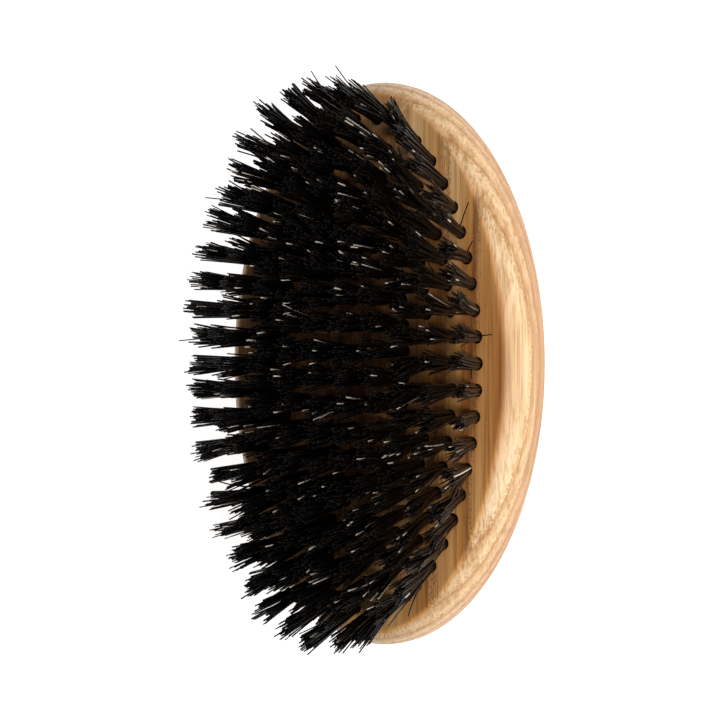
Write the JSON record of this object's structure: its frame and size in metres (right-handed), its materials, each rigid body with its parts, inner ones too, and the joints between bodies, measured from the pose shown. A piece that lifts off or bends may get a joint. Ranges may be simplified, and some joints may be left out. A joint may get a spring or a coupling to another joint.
{
  "type": "beard brush",
  "caption": "oval palm brush for beards: flat drilled ash body with a domed back, filled with leaning tufts of dark boar bristle",
  "frame": {"origin": "under the middle of the body, on the small flat land of the domed back, at the bottom of the part", "axes": "+X along the brush's length, +Y across it, +Z from the back to the bristle tips"},
  "size_m": [0.11, 0.067, 0.0412],
  "materials": {
    "ash_wood": "satin",
    "boar_bristle": "satin",
    "anchor_wire": "satin"
  },
  "bodies": {
    "root": {"tufts_oval1_arc1": "boar_bristle", "tufts_oval1_arc2": "boar_bristle", "tufts_oval1_arc3": "boar_bristle", "tufts_oval1_arc4": "boar_bristle", "tufts_oval1_arc5": "boar_bristle", "tufts_oval1_arc6": "boar_bristle", "tufts_oval1_arc7": "boar_bristle", "tufts_oval1_arc8": "boar_bristle", "tufts_oval2_arc1": "boar_bristle", "tufts_oval2_arc2": "boar_bristle", "tufts_oval2_arc3": "boar_bristle", "tufts_oval2_arc4": "boar_bristle", "tufts_oval2_arc5": "boar_bristle", "tufts_oval2_arc6": "boar_bristle", "tufts_oval2_arc7": "boar_bristle", "tufts_oval2_arc8": "boar_bristle", "tufts_oval3_arc1": "boar_bristle", "tufts_oval3_arc2": "boar_bristle", "tufts_oval3_arc3": "boar_bristle", "tufts_oval3_arc4": "boar_bristle", "tufts_oval3_arc5": "boar_bristle", "tufts_oval3_arc6": "boar_bristle", "tufts_oval3_arc7": "boar_bristle", "tufts_oval4_arc1": "boar_bristle", "tufts_oval4_arc2": "boar_bristle", "tufts_oval4_arc3": "boar_bristle", "tufts_oval4_arc4": "boar_bristle", "tufts_oval4_arc5": "boar_bristle", "tufts_oval5_arc1": "boar_bristle", "tufts_oval5_arc2": "boar_bristle", "tufts_oval5_arc3": "boar_bristle", "tufts_oval5_arc4": "boar_bristle", "wood_body": "ash_wood"}
  },
  "joints": []
}
